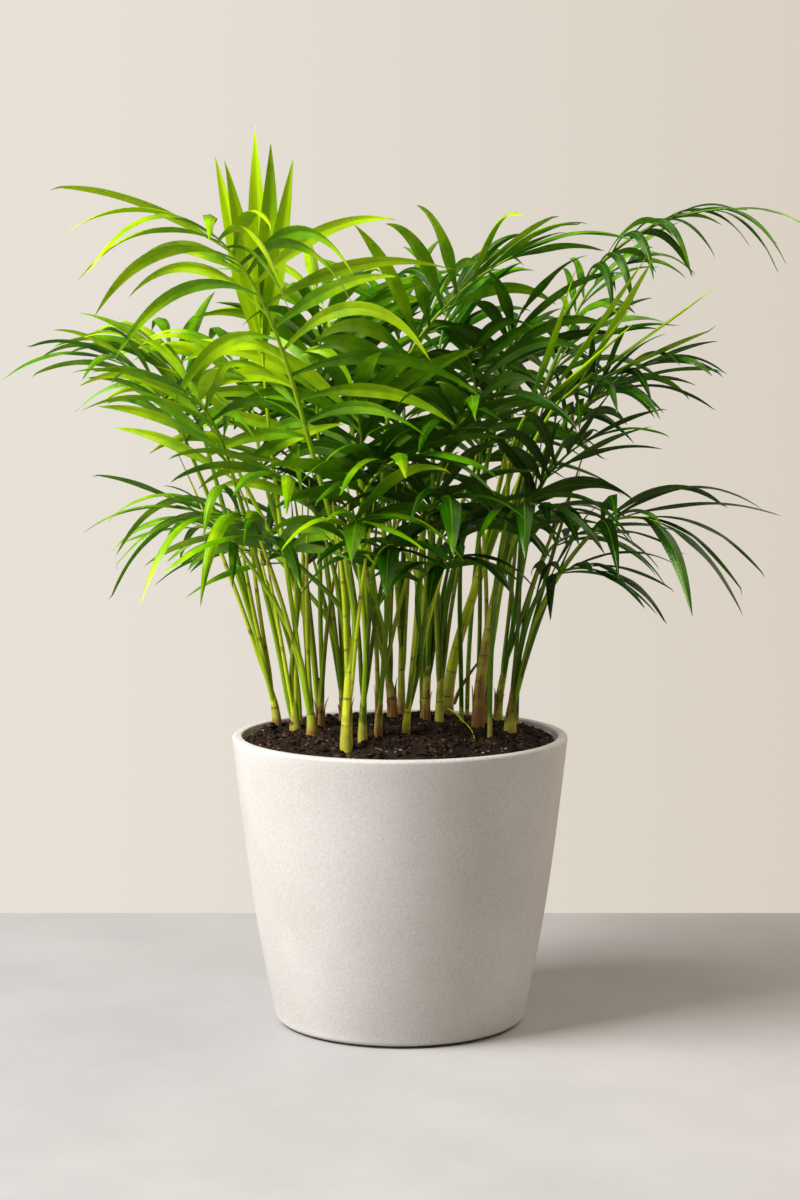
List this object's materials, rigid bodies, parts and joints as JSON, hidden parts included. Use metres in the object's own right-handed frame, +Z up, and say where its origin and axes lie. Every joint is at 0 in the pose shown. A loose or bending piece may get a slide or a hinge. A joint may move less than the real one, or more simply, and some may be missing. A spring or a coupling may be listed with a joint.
{
  "type": "potted parlor palm",
  "caption": "Bushy parlor palm with arching feather fronds on slim canes, growing in a tapered round planter of matte cast stone filled with dark potting mix.",
  "frame": {"origin": "centre of the pot's foot, on the surface it stands on", "axes": "+Z up the pot's axis, the viewer looks along +Y from the front, +X to the viewer's right"},
  "size_m": [0.5186, 0.4981, 0.5825],
  "materials": {
    "pot_stone": "matte cast stone with fine speckle",
    "potting_mix": "loose, crumbly and dull",
    "cane": "smooth green skin, brown at the foot",
    "leaf": "satin, finely ribbed",
    "young_leaf": "satin, finely ribbed, yellow green"
  },
  "bodies": {
    "root": {"pot": "pot_stone", "soil": "potting_mix", "cane_01": "cane", "cane_02": "cane", "cane_03": "cane", "cane_04": "cane", "cane_05": "cane", "cane_06": "cane", "cane_07": "cane", "cane_08": "cane", "cane_09": "cane", "cane_10": "cane", "cane_11": "cane", "cane_12": "cane", "cane_13": "cane", "cane_14": "cane", "cane_15": "cane", "cane_16": "cane", "cane_17": "cane", "cane_18": "cane", "frond_01": "leaf", "frond_02": "young_leaf", "frond_03": "leaf", "frond_04": "leaf", "frond_05": "leaf", "frond_06": "young_leaf", "frond_07": "leaf", "frond_08": "leaf", "frond_09": "leaf", "frond_10": "leaf", "frond_11": "leaf", "frond_12": "leaf", "frond_13": "leaf", "frond_14": "leaf", "frond_15": "leaf", "frond_16": "leaf", "frond_17": "leaf", "frond_18": "leaf", "frond_19": "leaf", "frond_20": "leaf", "frond_21": "leaf", "frond_22": "leaf", "frond_23": "leaf", "frond_24": "leaf", "frond_25": "leaf", "frond_26": "leaf", "frond_27": "leaf", "frond_28": "leaf", "frond_29": "leaf", "frond_30": "leaf", "frond_31": "leaf", "frond_32": "leaf", "frond_33": "leaf", "frond_34": "leaf", "frond_35": "leaf", "frond_36": "leaf", "frond_37": "leaf", "frond_38": "leaf", "frond_39": "leaf", "frond_40": "leaf"}
  },
  "joints": []
}
